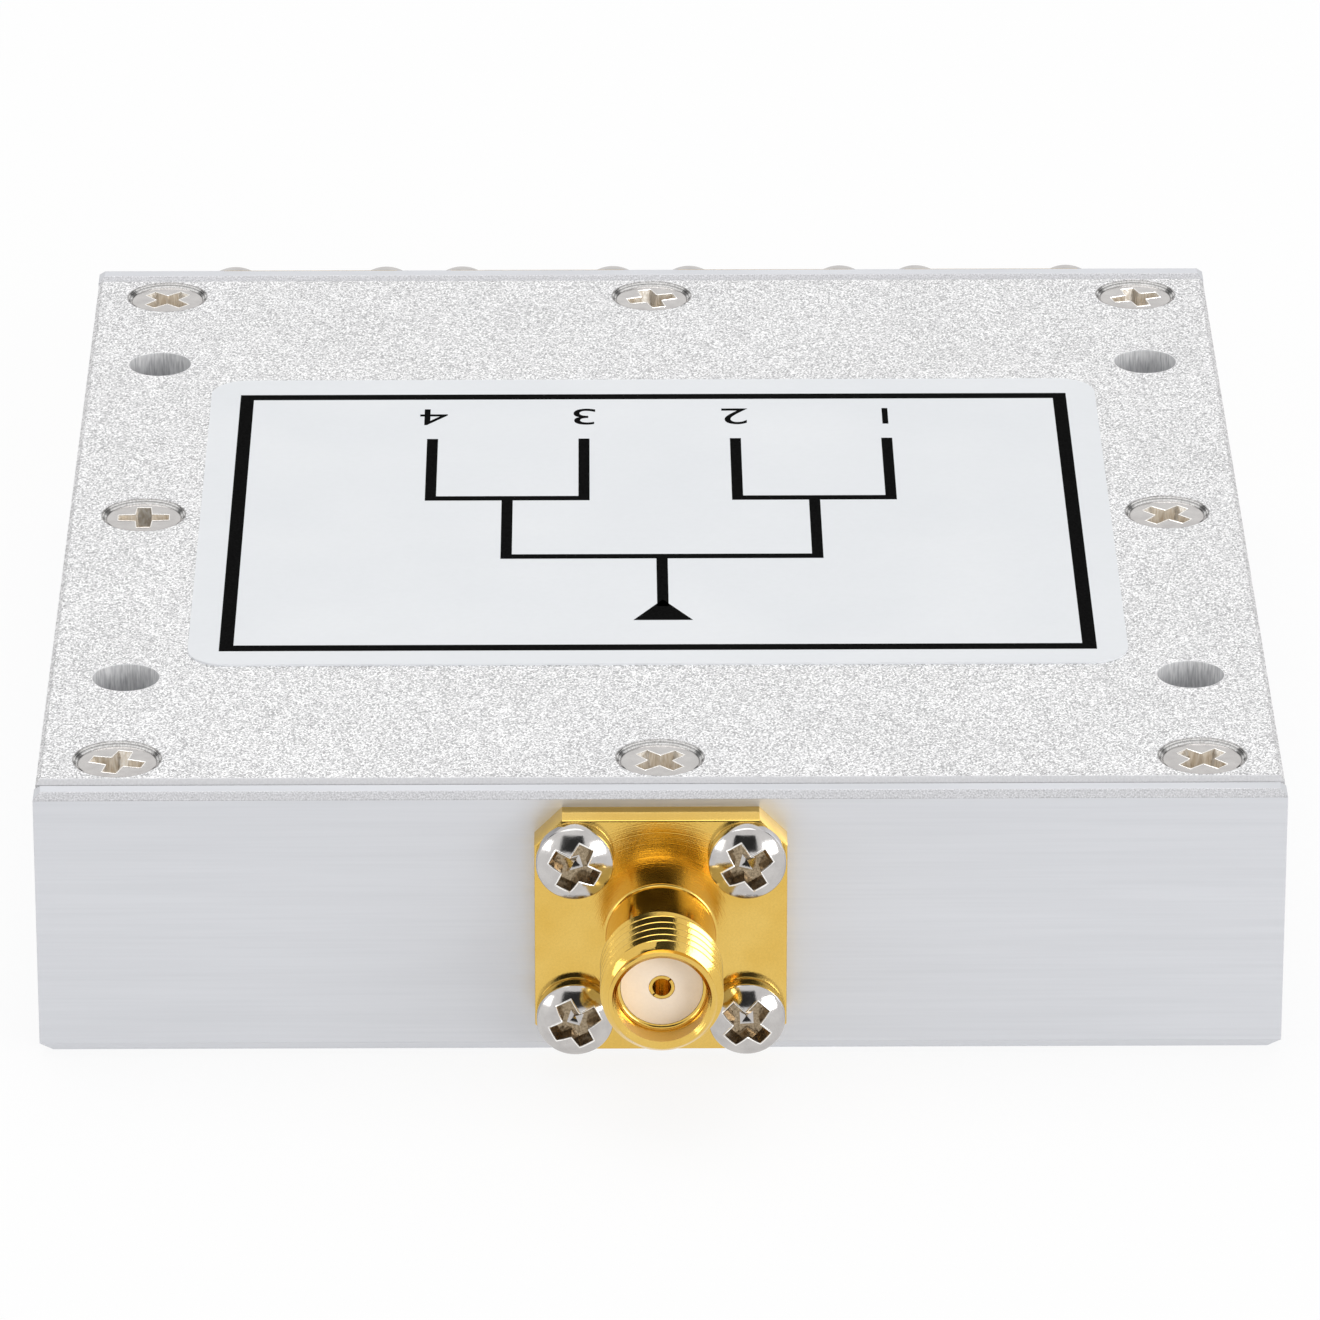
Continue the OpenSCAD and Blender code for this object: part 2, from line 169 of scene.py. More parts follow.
def milled_aluminium():
    finish, tree, shader = new_finish("milled_aluminium", 0.76, 0.4)
    lines = grain(tree, 0.16, 3, stretch=(60, 60, 1))
    bands = grain(tree, 1.5, 2, stretch=(40, 40, 1))
    specks = grain(tree, 0.08, 1)
    metal = tint(tree, lines, (0.635, 0.645, 0.675), (0.675, 0.685, 0.715))
    broad = tint(tree, bands, (0.97, 0.97, 0.97), (1, 1, 1))
    rough = tint(tree, specks, (0.44, 0.44, 0.455), (0.7, 0.7, 0.72))
    smooth = over(tree, metal, broad, 1.0)
    outer = on_chamfer(tree, 1, lip_edge)
    inner = on_chamfer(tree, -1, lip_inside)
    chamfers = reckon(tree, "MAXIMUM", outer, inner)
    tree.links.new(over(tree, smooth, rough, chamfers, "MIX"), shader.inputs["Base Color"])
    tree.links.new(spread(tree, lines, 0.36, 0.5), shader.inputs["Roughness"])
    relief(tree, shader, lines, 0.002, edge=0.05)
    return finish


housing_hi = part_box("housing")[1]
lip_t = 1.4
lip_chamfer = 0.33
lip_inner_chamfer = 0.3
lip_edge = housing_hi.y + housing_hi.z - lip_chamfer * MM
lip_inside = housing_hi.y - housing_hi.z + (lip_inner_chamfer - lip_t) * MM
dress("housing", milled_aluminium())


# Circuit inside the pocket: a laminate board with an etched copper network of three rings, a chip
# resistor across each ring's gap, and a cone of solder at each contact's tail.

def laminate():
    finish, tree, shader = new_finish("laminate", 0.0, 0.5)
    warp = grain(tree, 0.5, 1, stretch=(1, 12, 1))
    weft = grain(tree, 0.5, 1, stretch=(12, 1, 1))
    cloth = over(
        tree,
        tint(tree, warp, (0.62, 0.58, 0.44), (0.74, 0.7, 0.56)),
        tint(tree, weft, (0.9, 0.9, 0.9), (1, 1, 1)),
        1.0,
    )
    tree.links.new(cloth, shader.inputs["Base Color"])
    relief(tree, shader, weft, 0.01)
    return finish


def etched_copper():
    finish, tree, shader = new_finish("etched_copper", 1.0, 0.3)
    patches = grain(tree, 3.0, 4)
    tree.links.new(
        tint(tree, patches, (0.62, 0.27, 0.14), (0.83, 0.43, 0.26)), shader.inputs["Base Color"]
    )
    tree.links.new(spread(tree, patches, 0.22, 0.42), shader.inputs["Roughness"])
    relief(tree, shader, grain(tree, 0.2, 2), 0.004)
    return finish


def chip_ceramic():
    finish, tree, shader = new_finish("chip_ceramic", 0.0, 0.45)
    specks = grain(tree, 0.1, 3)
    tree.links.new(
        tint(tree, specks, (0.01, 0.01, 0.012), (0.03, 0.03, 0.034)), shader.inputs["Base Color"]
    )
    tree.links.new(spread(tree, specks, 0.35, 0.55), shader.inputs["Roughness"])
    return finish


def tin_solder():
    finish, tree, shader = new_finish("tin_solder", 1.0, 0.25)
    cooled = grain(tree, 0.3, 3)
    tree.links.new(
        tint(tree, cooled, (0.52, 0.53, 0.55), (0.76, 0.77, 0.79)), shader.inputs["Base Color"]
    )
    tree.links.new(spread(tree, cooled, 0.15, 0.4), shader.inputs["Roughness"])
    relief(tree, shader, cooled, 0.02)
    return finish


dress("circuit_board", laminate())
dress("circuit_traces", etched_copper())
dress("isolation_resistors", chip_ceramic())
dress("solder_joints", tin_solder())


# Connectors: in each, a white PTFE core holds a gold-plated contact whose socket takes the cable's
# pin. Both are turned parts, pushed into the bore of the shell and the housing's wall.
PORTS = ["input", "output_1", "output_2", "output_3", "output_4"]


def port_foot(port):
    """Middle of a connector's foot on the housing's wall, and the way it points along Y."""
    lo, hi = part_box(f"{port}_shell")
    out = 1 if lo.y > 0 else -1
    return Vector(((lo.x + hi.x) / 2, lo.y if out > 0 else hi.y, (lo.z + hi.z) / 2)), out


def nearest(tree, place, spots):
    """Distance from a place to the nearest of some spots."""
    least = 1.0
    for spot in spots:
        reach = tree.nodes.new("ShaderNodeVectorMath")
        reach.operation = "DISTANCE"
        reach.inputs[1].default_value = spot
        tree.links.new(place, reach.inputs[0])
        least = reckon(tree, "MINIMUM", reach.outputs["Value"], least)
    return least


def rings(tree, away, pitch):
    """Rings of chance height round an axis, left by a tool that turned."""
    marks = tree.nodes.new("ShaderNodeTexNoise")
    marks.noise_dimensions = "1D"
    marks.inputs["Scale"].default_value = 1 / (pitch * MM)
    tree.links.new(away, marks.inputs["W"])
    return marks.outputs["Fac"]


def ptfe():
    finish, tree, shader = new_finish("ptfe", 0.0, 0.42)
    clouds = grain(tree, 1.6, 3)
    turned = grain(tree, 0.14, 2)
    core = over(
        tree,
        tint(tree, clouds, (0.91, 0.785, 0.635), (0.95, 0.84, 0.71)),
        tint(tree, turned, (0.96, 0.96, 0.96), (1, 1, 1)),
        0.7,
    )
    tree.links.new(core, shader.inputs["Base Color"])
    relief(tree, shader, turned, 0.004)
    return finish


def gold_plate(name, edge=0.0):
    finish, tree, shader = new_finish(name, 1.0, 0.1)
    clouds = grain(tree, 2.5, 3)
    pebbles = grain(tree, 0.11, 2)
    place = tree.nodes.new("ShaderNodeTexCoord")
    feet = [port_foot(port)[0] for port in PORTS]
    turning = rings(tree, nearest(tree, place.outputs["Object"], feet), 0.06)
    gold = over(
        tree,
        tint(tree, clouds, (0.735, 0.472, 0.1), (0.8, 0.545, 0.143)),
        tint(tree, pebbles, (0.93, 0.92, 0.9), (1, 1, 1)),
        0.8,
    )
    tree.links.new(gold, shader.inputs["Base Color"])
    tree.links.new(spread(tree, clouds, 0.08, 0.16), shader.inputs["Roughness"])
    relief(tree, shader, reckon(tree, "ADD", pebbles, turning), 0.0026, edge=edge)
    return finish


white_core = ptfe()
contact_gold = gold_plate("contact_gold", edge=0.05)
for port in PORTS:
    dress(f"{port}_dielectric", white_core)
    dress(f"{port}_contact", contact_gold)


# Connector shells: each is one brass turning with a square flange, cut at its corners, a plain neck
# and a 36-per-inch thread that runs out at a tapered nose. All of it is gold plated.
TURN_STEPS = 96
flange_lo, flange_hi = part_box("input_shell")
flange_w = (flange_hi.x - flange_lo.x) / MM
shell_len = (flange_hi.y - flange_lo.y) / MM
flange_t = 1.7
flange_cut = 1.4
flange_edge = 0.07
neck_r = 2.75
neck_len = 3.6
root_fillet = 0.14
thread_r = 3.075
thread_pitch = 25.4 / 36
thread_depth = 0.4
crest_share = 0.125
crest_edge = 0.025
nose_r = 2.65
nose_len = 0.62
nose_edge = 0.05
mouth_r = 2.3
mouth_depth = 1.65
mouth_chamfer = 0.2
bore_r = 2.07
thread_lead = 0.03
HAIR = 1e-3


def spin_line(bm, points, rise=0.0, steps=TURN_STEPS):
    """Turns a line of (radius, height) points once round Z, climbing by rise on the way."""
    verts = [bm.verts.new((r, 0, z)) for r, z in points]
    edges = [bm.edges.new(pair) for pair in zip(verts, verts[1:])]
    bmesh.ops.spin(
        bm, geom=verts + edges, cent=(0, 0, 0), axis=(0, 0, 1), dvec=(0, 0, rise / steps),
        angle=2 * pi, steps=steps, use_merge=rise == 0,
    )
    bmesh.ops.remove_doubles(bm, verts=bm.verts, dist=1e-4)


def arc(centre, radius, start, end, steps):
    """Points of (radius, height) on an arc, with its angles in degrees."""
    angles = [radians(start + (end - start) * i / steps) for i in range(steps + 1)]
    return [(centre[0] + radius * cos(a), centre[1] + radius * sin(a)) for a in angles]


def rim(bm, height):
    """Open edges that lie at a height."""
    return [
        e for e in bm.edges
        if e.is_boundary and all(abs(v.co.z - height) < HAIR for v in e.verts)
    ]


def set_sharp(bm, angle):
    """Smooth faces, with a crease at each edge that turns by more than the angle."""
    for face in bm.faces:
        face.smooth = True
    for edge in bm.edges:
        edge.smooth = edge.calc_face_angle(0) < radians(angle)


def thread_line(start, turns):
    """One side of a 60 degree thread with narrow crests, as (radius, height) points."""
    root_r = thread_r - thread_depth
    crest = crest_share * thread_pitch / 2
    flank = tan(radians(30))
    foot = crest + thread_depth * flank
    lean = crest_edge * flank
    tooth = [
        (root_r, -foot), (thread_r - crest_edge, -crest - lean), (thread_r, 2 * lean - crest),
        (thread_r, crest - 2 * lean), (thread_r - crest_edge, crest + lean), (root_r, foot),
    ]
    return [(r, start + turn * thread_pitch + z) for turn in range(turns) for r, z in tooth]


def shell_mesh():
    """Shell in millimetres, standing on the housing's wall with Z pointing out."""
    shoulder = flange_t + neck_len - (thread_r - neck_r)
    nose_top = shell_len - nose_edge
    taper = (thread_r - nose_r) / nose_len
    bm = bmesh.new()
    turns = int((shell_len - shoulder) / thread_pitch) + 4
    spin_line(bm, thread_line(shoulder - 2 * thread_pitch, turns), rise=thread_pitch)
    for height, outer in ((shoulder, False), (nose_top, True)):
        bmesh.ops.bisect_plane(
            bm, geom=bm.verts[:] + bm.edges[:] + bm.faces[:], plane_co=(0, 0, height),
            plane_no=(0, 0, 1), clear_outer=outer, clear_inner=not outer, dist=1e-5,
        )
    for vert in bm.verts:
        z = vert.co.z
        limit = min(thread_r, neck_r + z - shoulder, nose_r + (nose_top - z) * taper)
        reach = hypot(vert.co.x, vert.co.y)
        if reach > limit:
            vert.co.x *= limit / reach
            vert.co.y *= limit / reach

    seat = arc((neck_r + root_fillet, flange_t + root_fillet), root_fillet, 270, 180, 5)
    neck_end = shoulder - thread_lead
    thread_foot = rim(bm, shoulder)
    thread_end = rim(bm, nose_top)
    spin_line(bm, [*seat, (neck_r, neck_end)])
    bmesh.ops.bridge_loops(bm, edges=thread_foot + rim(bm, neck_end))
    floor_z = shell_len - mouth_depth
    spin_line(bm, [
        (nose_r - nose_edge, shell_len),
        (mouth_r + mouth_chamfer, shell_len),
        (mouth_r, shell_len - mouth_chamfer),
        *arc((bore_r, floor_z + mouth_r - bore_r), mouth_r - bore_r, 0, -90, 5),
        (bore_r, 0),
    ])
    bmesh.ops.bridge_loops(bm, edges=thread_end + rim(bm, shell_len))

    neck_foot = rim(bm, flange_t)
    bore_foot = rim(bm, 0)
    plate = bmesh.ops.create_cube(
        bm, size=1, matrix=Matrix.Translation((0, 0, flange_t / 2))
        @ Matrix.Diagonal((flange_w, flange_w, flange_t, 1)),
    )["verts"]
    upright = [
        e for e in {e for v in plate for e in v.link_edges}
        if abs(e.verts[0].co.z - e.verts[1].co.z) > flange_t / 2
    ]
    bmesh.ops.bevel(
        bm, geom=upright, offset=flange_cut, segments=1, profile=0.5, affect="EDGES", material=-1
    )
    front = [
        e for e in bm.edges
        if all(abs(v.co.z - flange_t) < HAIR and max(abs(v.co.x), abs(v.co.y)) > thread_r
               for v in e.verts)
    ]
    bmesh.ops.bevel(
        bm, geom=front, offset=flange_edge, segments=2, profile=0.5, affect="EDGES", material=-1
    )
    bm.normal_update()
    plate_faces = [f for f in bm.faces if len(f.verts) == 8 and abs(f.normal.z) > 0.99]
    bmesh.ops.delete(bm, geom=plate_faces, context="FACES_ONLY")
    for height, hole in ((flange_t, neck_foot), (0, bore_foot)):
        edges = list(dict.fromkeys([*rim(bm, height), *hole]))
        bmesh.ops.triangle_fill(bm, edges=edges, use_beauty=True)
    bmesh.ops.remove_doubles(bm, verts=bm.verts, dist=1e-4)
    bmesh.ops.recalc_face_normals(bm, faces=bm.faces)
    set_sharp(bm, 24)
    for edge in bm.edges:
        if all(abs(v.co.z - flange_t) < HAIR for v in edge.verts):
            edge.smooth = False
    return bm


def at_port(port):
    """Placing of a connector: its foot on the housing's wall, X to its right and Z pointing out."""
    foot, out = port_foot(port)
    return Matrix((
        (-out * MM, 0, 0, foot.x),
        (0, 0, out * MM, foot.y),
        (0, MM, 0, foot.z),
        (0, 0, 0, 1),
    ))


def make_piece(name, bm, *finishes):
    """Turns a finished bmesh in metres into a piece of the object."""
    mesh = bpy.data.meshes.new(name)
    bm.to_mesh(mesh)
    bm.free()
    for finish in finishes:
        mesh.materials.append(finish)
    piece = bpy.data.objects.new(name, mesh)
    bpy.context.scene.collection.objects.link(piece)
    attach(piece, "root")
    return piece


gold = gold_plate("gold_plate")
for port in PORTS:
    shell = shell_mesh()
    bmesh.ops.transform(shell, matrix=at_port(port), verts=shell.verts)
    piece = make_piece(f"{port}_threaded_shell", shell, gold)
    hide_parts(f"{port}_shell")


# Flange screws: twenty steel pan heads, cold formed, with a cross recess punched in each, nickel
# plated bright. Four hold each connector, and the ones on the input are turned as they were left.
screw_r = 1.0
screw_len = 4.0
screw_tip = 0.25
pan_r = 1.95
pan_h = 1.5
pan_foot = 0.14
pan_edge = 0.22
crown_r = 3.05
screw_pitch = 8.64
pan_recess = {"reach": 1.45, "tip": 0.9, "root": 1.06, "depth": 0.95}
pan_burr = 0.045
INPUT_TURNS = {(-1, 1): -28, (1, 1): 31, (-1, -1): 27, (1, -1): 48}
NEXT_TURN = 37


def bright_nickel():
    finish, tree, shader = new_finish("bright_nickel", 1.0, 0.12)
    haze = grain(tree, 0.8, 3)
    specks = grain(tree, 0.09, 2)
    plate = over(
        tree,
        tint(tree, haze, (0.51, 0.49, 0.48), (0.6, 0.58, 0.565)),
        tint(tree, specks, (0.94, 0.94, 0.94), (1, 1, 1)),
        0.7,
    )
    tree.links.new(plate, shader.inputs["Base Color"])
    tree.links.new(spread(tree, haze, 0.07, 0.17), shader.inputs["Roughness"])
    relief(tree, shader, specks, 0.0015)
    return finish


# Nickel for a recess's walls, its colour set apart from the plate's: painted shade or painted light
# for the recess.
def recess_nickel(name, metallic, dark, light, stretch):
    finish, tree, shader = new_finish(name, metallic, 0.2)
    streaks = grain(tree, 0.12, 2, stretch=stretch)
    tree.links.new(tint(tree, streaks, dark, light), shader.inputs["Base Color"])
    tree.links.new(spread(tree, streaks, 0.1, 0.22), shader.inputs["Roughness"])
    relief(tree, shader, streaks, 0.003)
    return finish


# Nickel of the bead along each recess's rim, coloured near white: a painted highlight, so the rims
# show as bright lines on all sides.
def burnished_nickel():
    finish, tree, shader = new_finish("burnished_nickel", 0.8, 0.2)
    rub = grain(tree, 0.2, 2)
    tree.links.new(
        tint(tree, rub, (0.84, 0.82, 0.79), (0.95, 0.94, 0.92)), shader.inputs["Base Color"]
    )
    tree.links.new(spread(tree, rub, 0.14, 0.26), shader.inputs["Roughness"])
    return finish


nickel = bright_nickel()
highlight_bead_nickel = burnished_nickel()
# Recess walls of the pan heads: coloured dark brown, a painted shade for the shade that falls in
# the recess.
shade_painted_recess = recess_nickel("recess_painted_shade", 0.9, (0.2, 0.15, 0.09), (0.45, 0.36, 0.25), (1, 10, 1))


def screw_solid(line):
    """Screw turned from a line of (radius, height) points that starts and ends on the axis."""
    bm = bmesh.new()
    spin_line(bm, line, steps=64)
    bmesh.ops.recalc_face_normals(bm, faces=bm.faces)
    return bm


def recess_cutter(top, reach, tip, root, depth):
    """Punch for a cross recess: four tapered wings and a blunt point, sunk from a height."""
    lead = 0.3
    wing_slope = tan(radians(26))
    side_slope = tan(radians(5))
    point_slope = tan(radians(22))
    point_r = 0.45 * root
    lap = 0.05
    bm = bmesh.new()
    for turn in range(4):
        wing = bmesh.ops.create_cube(bm, size=2)["verts"]
        for vert in wing:
            z = lead if vert.co.z > 0 else -depth
            x = reach + z * wing_slope if vert.co.x > 0 else 0
            width = (tip if vert.co.x > 0 else root) / 2 + z * side_slope
            vert.co = (x, vert.co.y * width, top + z)
        bmesh.ops.rotate(
            bm, cent=(0, 0, 0), matrix=Matrix.Rotation(turn * pi / 2, 3, "Z"), verts=wing
        )
    for face in bm.faces:
        face.material_index = 1
    point_h = point_r * point_slope + lap
    bmesh.ops.create_cone(
        bm, cap_ends=True, segments=4, radius1=0, radius2=point_h / point_slope, depth=point_h,
        matrix=Matrix.Translation((0, 0, top - depth + lap - point_h / 2)),
    )
    bmesh.ops.recalc_face_normals(bm, faces=bm.faces)
    return bm


def add_burr(bm, low, radius):
    """Adds the bead that the punch raised along a recess's rim, which lies above a height."""
    rest = {
        e for e in bm.edges
        if len({f.material_index for f in e.link_faces}) == 2 and min(v.co.z for v in e.verts) > low
    }
    corners = {v for e in rest for v in e.verts}
    half_reach = max(v.co.x for v in corners) / 2
    loop = [min(corners, key=lambda v: (round(abs(v.co.x - half_reach), 3), -v.co.y))]
    while rest:
        last = loop[-1]
        steps = [e.other_vert(last) for e in last.link_edges if e in rest]
        loop.append(max(steps, key=lambda v: v.co.x))
        rest.remove(bm.edges.get((last, loop[-1])))
    curve = bpy.data.curves.new("rim_ring", "CURVE")
    curve.dimensions = "3D"
    curve.bevel_depth = radius
    curve.bevel_resolution = 2
    line = curve.splines.new("POLY")
    line.points.add(len(loop) - 2)
    line.use_cyclic_u = True
    for point, vert in zip(line.points, loop):
        point.co = (*vert.co, 1)
    holder = bpy.data.objects.new("rim_ring", curve)
    bpy.context.scene.collection.objects.link(holder)
    bpy.context.view_layer.update()
    shown = holder.evaluated_get(bpy.context.evaluated_depsgraph_get())
    mesh = bpy.data.meshes.new_from_object(shown)
    bpy.data.objects.remove(holder)
    before = set(bm.faces)
    bm.from_mesh(mesh)
    # The bead's faces take the third slot, which holds the near-white nickel of the painted
    # highlight.
    for face in bm.faces:
        if face not in before:
            face.material_index = 2


def punched_mesh(screw, cutter, rim_low, burr_r):
    """Mesh of a screw with its recess cut out and a bead raised along the recess's rim."""
    solids = []
    for name, bm in (("screw", screw), ("cutter", cutter)):
        mesh = bpy.data.meshes.new(name)
        bm.to_mesh(mesh)
        bm.free()
        mesh.materials.append(nickel)
        mesh.materials.append(shade_painted_recess)
        solid = bpy.data.objects.new(name, mesh)
        bpy.context.scene.collection.objects.link(solid)
        solids.append(solid)
    cut = solids[0].modifiers.new("recess", "BOOLEAN")
    cut.operation = "DIFFERENCE"
    cut.solver = "EXACT"
    cut.use_self = True
    cut.object = solids[1]
    bpy.context.view_layer.update()
    shown = solids[0].evaluated_get(bpy.context.evaluated_depsgraph_get())
    mesh = bpy.data.meshes.new_from_object(shown)
    for solid in solids:
        bpy.data.objects.remove(solid)
    bm = bmesh.new()
    bm.from_mesh(mesh)
    bmesh.ops.remove_doubles(bm, verts=bm.verts, dist=1e-3)
    bmesh.ops.dissolve_degenerate(bm, dist=1e-3, edges=bm.edges)
    add_burr(bm, rim_low, burr_r)
    bmesh.ops.remove_doubles(bm, verts=bm.verts, dist=1e-4)
    bmesh.ops.recalc_face_normals(bm, faces=bm.faces)
    set_sharp(bm, 32)
    bm.to_mesh(mesh)
    bm.free()
    return mesh


def screw_set(mesh, places):
    """Copies of one screw, in millimetres, at each of the places."""
    bm = bmesh.new()
    for place in places:
        before = set(bm.verts)
        bm.from_mesh(mesh)
        bmesh.ops.transform(bm, matrix=place, verts=[v for v in bm.verts if v not in before])
    return bm


def shank_line(length):
    """Lower end of a screw with a chamfered tip, as (radius, height) points."""
    return [(0, -length), (screw_r - screw_tip, -length), (screw_r, screw_tip - length)]


crown_z = pan_h - crown_r
edge_rise = sqrt((crown_r - pan_edge) ** 2 - (pan_r - pan_edge) ** 2)
crown_start = degrees(atan2(edge_rise, pan_r - pan_edge))
pan_line = [
    *shank_line(screw_len),
    (screw_r, 0),
    *arc((pan_r - pan_foot, pan_foot), pan_foot, -90, 0, 4),
    *arc((pan_r - pan_edge, crown_z + edge_rise), pan_edge, 0, crown_start, 4)[:-1],
    *arc((0, crown_z), crown_r, crown_start, 90, 8),
]
pan_mesh = punched_mesh(
    screw_solid(pan_line), recess_cutter(pan_h, **pan_recess),
    pan_h - pan_recess["depth"] / 2, pan_burr,
)
pan_places = []
for port in PORTS:
    for i in (-1, 1):
        for j in (-1, 1):
            turn = INPUT_TURNS[i, j] if port == "input" else len(pan_places) * NEXT_TURN
            pan_places.append(
                at_port(port)
                @ Matrix.Translation((i * screw_pitch / 2, j * screw_pitch / 2, flange_t))
                @ Matrix.Rotation(radians(turn), 4, "Z")
            )
pan_screws = make_piece(
    "flange_screws_bright", screw_set(pan_mesh, pan_places), nickel, shade_painted_recess, highlight_bead_nickel
)
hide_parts("flange_screws")
dress("board_screws", nickel)


# Cover: a flat aluminium plate, sheared and milled to fit between the lips, then blasted with fine
# beads, which leaves an even grain, its sparkle painted in as glints. It is countersunk for its
# eight screws.

def dimples(tree, size):
    """Bead dents about size millimetres across, each given its own brightness: grain, and a painted
    glint for the light that its tilt would catch.
    """
    place = tree.nodes.new("ShaderNodeTexCoord")
    grain_and_glints = tree.nodes.new("ShaderNodeTexVoronoi")
    grain_and_glints.inputs["Scale"].default_value = 1 / (size * MM)
    tree.links.new(place.outputs["Object"], grain_and_glints.inputs["Vector"])
    return grain_and_glints.outputs["Color"]


def from_axes(tree, spots):
    """Distance to the nearest of some upright axes, which stand alike in all four quarters."""
    place = tree.nodes.new("ShaderNodeTexCoord")
    level = tree.nodes.new("ShaderNodeVectorMath")
    level.operation = "MULTIPLY"
    level.inputs[1].default_value = (1, 1, 0)
    tree.links.new(place.outputs["Object"], level.inputs[0])
    folded = tree.nodes.new("ShaderNodeVectorMath")
    folded.operation = "ABSOLUTE"
    tree.links.new(level.outputs["Vector"], folded.inputs[0])
    return nearest(tree, folded.outputs["Vector"], spots)


def blasted_aluminium():
    metallic, drilled_lightening_loss = 0.86, 0.42
    roughness, turned_gain = 0.5, 0.32
    soft = 0.02 * MM
    rim_half = 0.03 * MM
    finish, tree, shader = new_finish("blasted_aluminium", metallic, roughness)
    # Grain of the bead dents, with painted glints in its colour.
    grain_and_glints = dimples(tree, 0.075)
    clouds = grain(tree, 6.0, 3)
    cut = grain(tree, 0.1, 2, stretch=(1, 1, 8))
    blasted = over(
        tree,
        tint(tree, grain_and_glints, (0.385, 0.383, 0.391), (1, 0.997, 1), low=0.2, high=0.8),
        tint(tree, clouds, (0.96, 0.96, 0.96), (1, 1, 1)),
        1.0,
    )
    away = from_axes(tree, ((flat_x, flat_y, 0), (flat_x, 0, 0), (0, flat_y, 0)))
    marks = rings(tree, away, 0.12)
    turned = over(
        tree,
        tint(tree, marks, (0.42, 0.42, 0.42), (1, 0.99, 0.98), low=0.35, high=0.65),
        tint(tree, cut, (0.6, 0.59, 0.58), (1, 1, 1)),
        1.0,
    )
    milled = tint(tree, cut, (0.56, 0.56, 0.575), (0.64, 0.64, 0.655))
    sunk = near(tree, away, 0, countersink_r * MM - soft, soft)
    # A thin ring at each countersink's rim is darkened, multiplied by the turned colour.
    rim_ring = near(tree, away, countersink_r * MM, rim_half, soft)
    colour = over(tree, blasted, milled, on_chamfer(tree, 1, cover_edge), "MIX")
    colour = over(tree, over(tree, colour, turned, sunk, "MIX"), turned, rim_ring)
    # Mounting holes: walls coloured lighter and made less metallic than the plate, partly their
    # drilled finish and partly painted light against the shade inside the holes.
    drilled_lightened = tint(tree, cut, (0.62, 0.62, 0.63), (1, 1, 1))
    hole = near(tree, from_axes(tree, (mount_spot,)), 0, mount_r * MM + rim_half, soft)
    colour = over(tree, colour, drilled_lightened, hole, "MIX")
    loss = reckon(tree, "MULTIPLY", hole, drilled_lightening_loss)
    tree.links.new(reckon(tree, "SUBTRACT", metallic, loss), shader.inputs["Metallic"])
    tree.links.new(colour, shader.inputs["Base Color"])
    gain = reckon(tree, "MULTIPLY", sunk, turned_gain)
    tree.links.new(reckon(tree, "SUBTRACT", roughness, gain), shader.inputs["Roughness"])
    relief(tree, shader, grain(tree, 0.1, 2), 0.006, edge=0.05)
    return finish


cover_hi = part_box("cover")[1]
flat_lo, flat_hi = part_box("cover_screws")
flat_r = 2.05
flat_x = flat_hi.x - flat_r * MM
flat_y = flat_hi.y - flat_r * MM
countersink_r = 2.25
mount_r = 1.725
mount_side = 4.05
mount_end = 14.55
mount_spot = (housing_hi.x - mount_side * MM, housing_hi.y - mount_end * MM, 0)
cover_chamfer = 0.25
cover_edge = cover_hi.y + cover_hi.z - cover_chamfer * MM
dress("cover", blasted_aluminium())


# Cover screws: eight countersunk steel screws with a cross recess, nickel plated. Their heads sit
# just under the face of the cover, each turned as it was left.
flat_len = (flat_hi.z - flat_lo.z) / MM
flat_edge = 0.16
flat_land = 0.144
flat_recess = {"reach": 1.38, "tip": 0.76, "root": 0.98, "depth": 0.9}
flat_burr = 0.03
flat_turns = [-16, 1, 45, 42, 17, 46, 49, 17]

flat_line = [
    *shank_line(flat_len),
    (screw_r, screw_r - flat_r),
    (flat_r, -flat_land),
    *arc((flat_r - flat_edge, -flat_edge), flat_edge, 20, 90, 4),
    (0, 0),
]
flat_mesh = punched_mesh(
    screw_solid(flat_line), recess_cutter(0, **flat_recess),
    -flat_recess["depth"] / 2, flat_burr,
)
flat_spots = [(i, j) for i in (-1, 0, 1) for j in (-1, 0, 1) if (i, j) != (0, 0)]
flat_places = [
    Matrix.Translation((i * flat_x, j * flat_y, flat_hi.z))
    @ Matrix.Scale(MM, 4)
    @ Matrix.Rotation(radians(turn), 4, "Z")
    for (i, j), turn in zip(flat_spots, flat_turns)
]
# Recess walls of the cover screws: coloured a light warm tan and less metallic than the plate, a
# painted light for light bounced into the recess.
light_painted_recess = recess_nickel("recess_painted_light", 0.58, (0.62, 0.54, 0.44), (0.97, 0.93, 0.86), (1, 1, 10))
flat_screws = make_piece(
    "cover_screws_bright", screw_set(flat_mesh, flat_places), nickel, light_painted_recess, highlight_bead_nickel
)
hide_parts("cover_screws")


# Label: a pale polyester film with rounded corners, stuck to the cover.
# Its print is a black frame, the outputs' numbers, and a line that parts in two and in two again.
label_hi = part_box("label")[1]
INK = 0.006 * MM


def label_film():
    finish, tree, shader = new_finish("label_film", 0.0, 0.38)
    clouds = grain(tree, 9.0, 3)
    peel = grain(tree, 0.35, 2)
    film = over(
        tree,
        tint(tree, clouds, (0.73, 0.75, 0.775), (0.765, 0.782, 0.803)),
        tint(tree, peel, (0.97, 0.97, 0.97), (1, 1, 1)),
        0.8,
    )
    tree.links.new(film, shader.inputs["Base Color"])
    tree.links.new(spread(tree, peel, 0.32, 0.46), shader.inputs["Roughness"])
    relief(tree, shader, peel, 0.003)
    return finish


